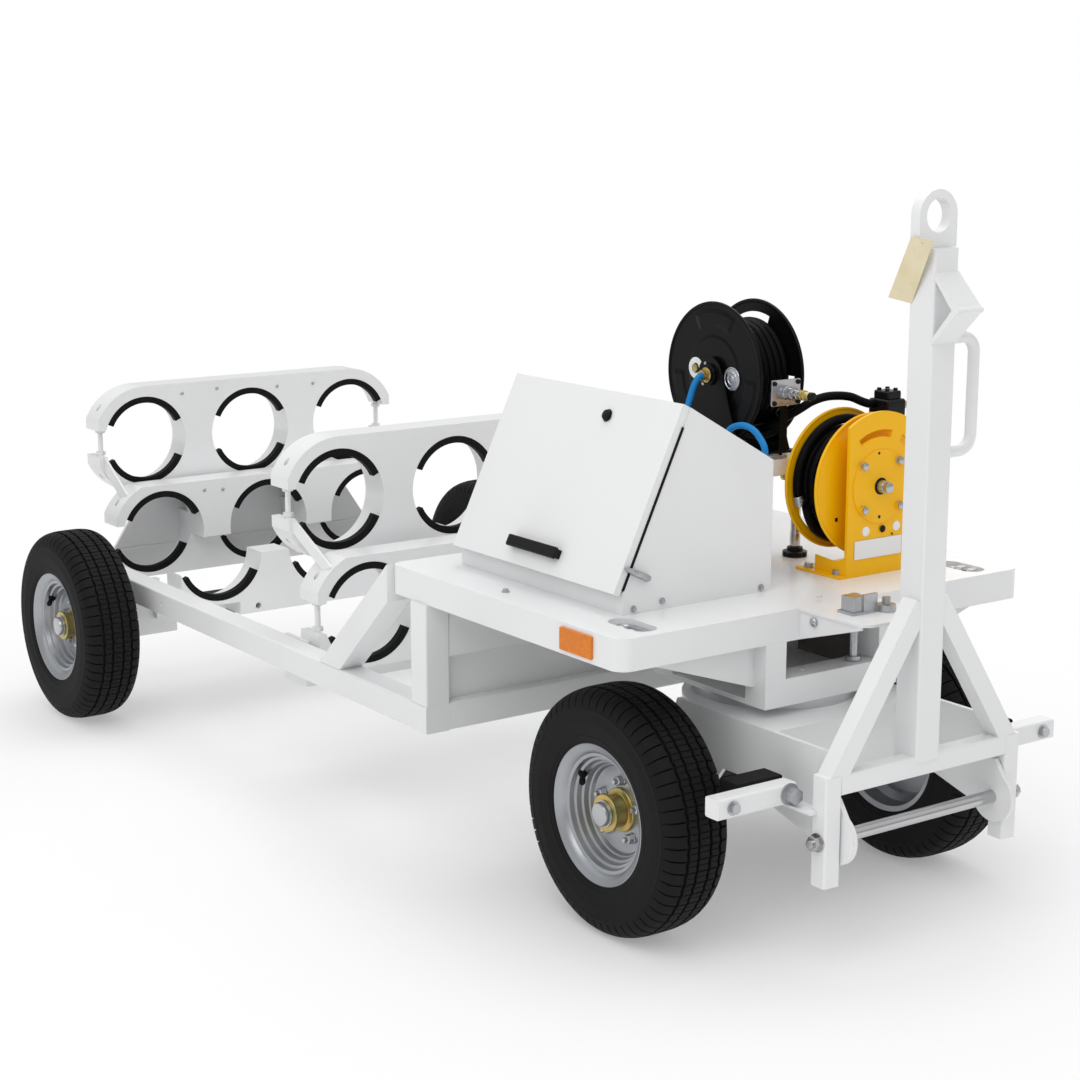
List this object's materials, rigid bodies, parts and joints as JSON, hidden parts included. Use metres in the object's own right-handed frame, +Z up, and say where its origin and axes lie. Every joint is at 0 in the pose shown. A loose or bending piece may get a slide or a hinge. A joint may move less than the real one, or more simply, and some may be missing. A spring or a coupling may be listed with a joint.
{
  "type": "gas cylinder cart",
  "caption": "Four-wheel cart with ring clamps for gas cylinders, a raised deck with a control box and two hose reels, and a folding tow bar.",
  "frame": {"origin": "middle of the cart's outline on the ground, at the wheels' lowest line", "axes": "+X forward to the tow bar, +Y to the cart's left, +Z up"},
  "size_m": [3.358, 1.712, 1.706],
  "materials": {
    "white_paint": "gloss",
    "black_paint": "satin",
    "zinc": "satin",
    "gold_zinc": "satin",
    "yellow_paint": "gloss",
    "tyre": "matt",
    "rubber": "matt",
    "hose": "satin",
    "blue_hose": "satin",
    "amber": "gloss",
    "black_plastic": "matt",
    "card": "matt"
  },
  "bodies": {
    "chassis": {"side_rails": "white_paint", "cross_members": "white_paint", "rear_axle": "black_paint", "posts_and_braces": "white_paint", "bulkhead": "white_paint", "neck_frame": "white_paint", "deck": "white_paint", "reflectors": "amber", "turntable_upper": "zinc", "tow_catch": "zinc", "rear_top_rack": "white_paint", "rear_low_clamp": "white_paint", "rear_low_saddle": "white_paint", "mid_saddle": "white_paint", "front_top_rack": "white_paint", "front_low_rack": "white_paint", "rack_braces": "white_paint", "rack_strips": "rubber", "clamp_bolts": "zinc", "cabinet": "white_paint", "door_seal": "rubber", "reel_table": "white_paint", "black_reel_stand": "black_paint", "outlet_plate": "zinc", "hose_run": "hose", "hose_stop": "black_plastic", "blue_hoses": "blue_hose", "yellow_reel_stand": "yellow_paint", "valve_column": "zinc"},
    "rear_right_wheel": {"rear_right_tyre": "tyre", "rear_right_rim": "zinc", "rear_right_hub": "gold_zinc"},
    "rear_left_wheel": {"rear_left_tyre": "tyre", "rear_left_rim": "zinc", "rear_left_hub": "gold_zinc"},
    "front_right_wheel": {"front_right_tyre": "tyre", "front_right_rim": "zinc", "front_right_hub": "gold_zinc"},
    "front_left_wheel": {"front_left_tyre": "tyre", "front_left_rim": "zinc", "front_left_hub": "gold_zinc"},
    "steering": {"turntable_lower": "zinc", "steering_frame": "white_paint", "front_axle": "black_paint", "pivot_rod": "zinc"},
    "tow_bar": {"tow_bar": "white_paint", "tow_eye": "white_paint", "brake_pads": "rubber", "stub_bolts": "zinc", "paper_tag": "card"},
    "door": {"cabinet_door": "white_paint", "door_fittings": "black_plastic"},
    "latch": {"side_latch": "zinc"},
    "black_drum": {"black_reel_drum": "black_paint", "black_winding": "hose"},
    "yellow_drum": {"yellow_reel_drum": "yellow_paint", "yellow_winding": "hose"},
    "lock_pin": {"lock_pin": "zinc"},
    "right_lift_ring": {"lift_ring_right": "zinc"},
    "left_lift_ring": {"lift_ring_left": "zinc"}
  },
  "joints": [
    {"name": "rear_right_spin", "type": "hinge", "parent": "chassis", "child": "rear_right_wheel", "pos_m": [-1.279, -0.767, 0.292], "axis": [0, 1, 0], "continuous": true},
    {"name": "rear_left_spin", "type": "hinge", "parent": "chassis", "child": "rear_left_wheel", "pos_m": [-1.279, 0.767, 0.292], "axis": [0, 1, 0], "continuous": true},
    {"name": "steer", "type": "hinge", "parent": "chassis", "child": "steering", "pos_m": [1.091, 0, 0.51], "axis": [0, 0, 1], "range_deg": [-30, 30]},
    {"name": "front_right_spin", "type": "hinge", "parent": "steering", "child": "front_right_wheel", "pos_m": [1.091, -0.451, 0.292], "axis": [0, 1, 0], "continuous": true},
    {"name": "front_left_spin", "type": "hinge", "parent": "steering", "child": "front_left_wheel", "pos_m": [1.091, 0.451, 0.292], "axis": [0, 1, 0], "continuous": true},
    {"name": "tow_bar_fold", "type": "hinge", "parent": "steering", "child": "tow_bar", "pos_m": [1.577, 0, 0.322], "axis": [0, 1, 0], "range_deg": [0, 90]},
    {"name": "door_open", "type": "hinge", "parent": "chassis", "child": "door", "pos_m": [0.787, -0.29479, 1.21426], "axis": [-1, 0, 0], "range_deg": [0, 100]},
    {"name": "latch_turn", "type": "hinge", "parent": "chassis", "child": "latch", "pos_m": [1.115, -0.43923, 0.84847], "axis": [1, 0, 0], "range_deg": [0, 90]},
    {"name": "black_reel_turn", "type": "hinge", "parent": "chassis", "child": "black_drum", "pos_m": [0.755, 0.145, 1.222], "axis": [0, 1, 0], "continuous": true},
    {"name": "yellow_reel_turn", "type": "hinge", "parent": "chassis", "child": "yellow_drum", "pos_m": [1.04, 0.287, 0.975], "axis": [1, 0, 0], "continuous": true},
    {"name": "lock_pin_lift", "type": "slide", "parent": "chassis", "child": "lock_pin", "axis": [0, 0, 1], "range_m": [0, 0.06]},
    {"name": "right_lift_ring_fold", "type": "hinge", "parent": "chassis", "child": "right_lift_ring", "pos_m": [1.193, -0.534, 0.743], "axis": [1, 0, 0], "range_deg": [0, 90]},
    {"name": "left_lift_ring_fold", "type": "hinge", "parent": "chassis", "child": "left_lift_ring", "pos_m": [1.193, 0.534, 0.743], "axis": [-1, 0, 0], "range_deg": [0, 90]}
  ]
}
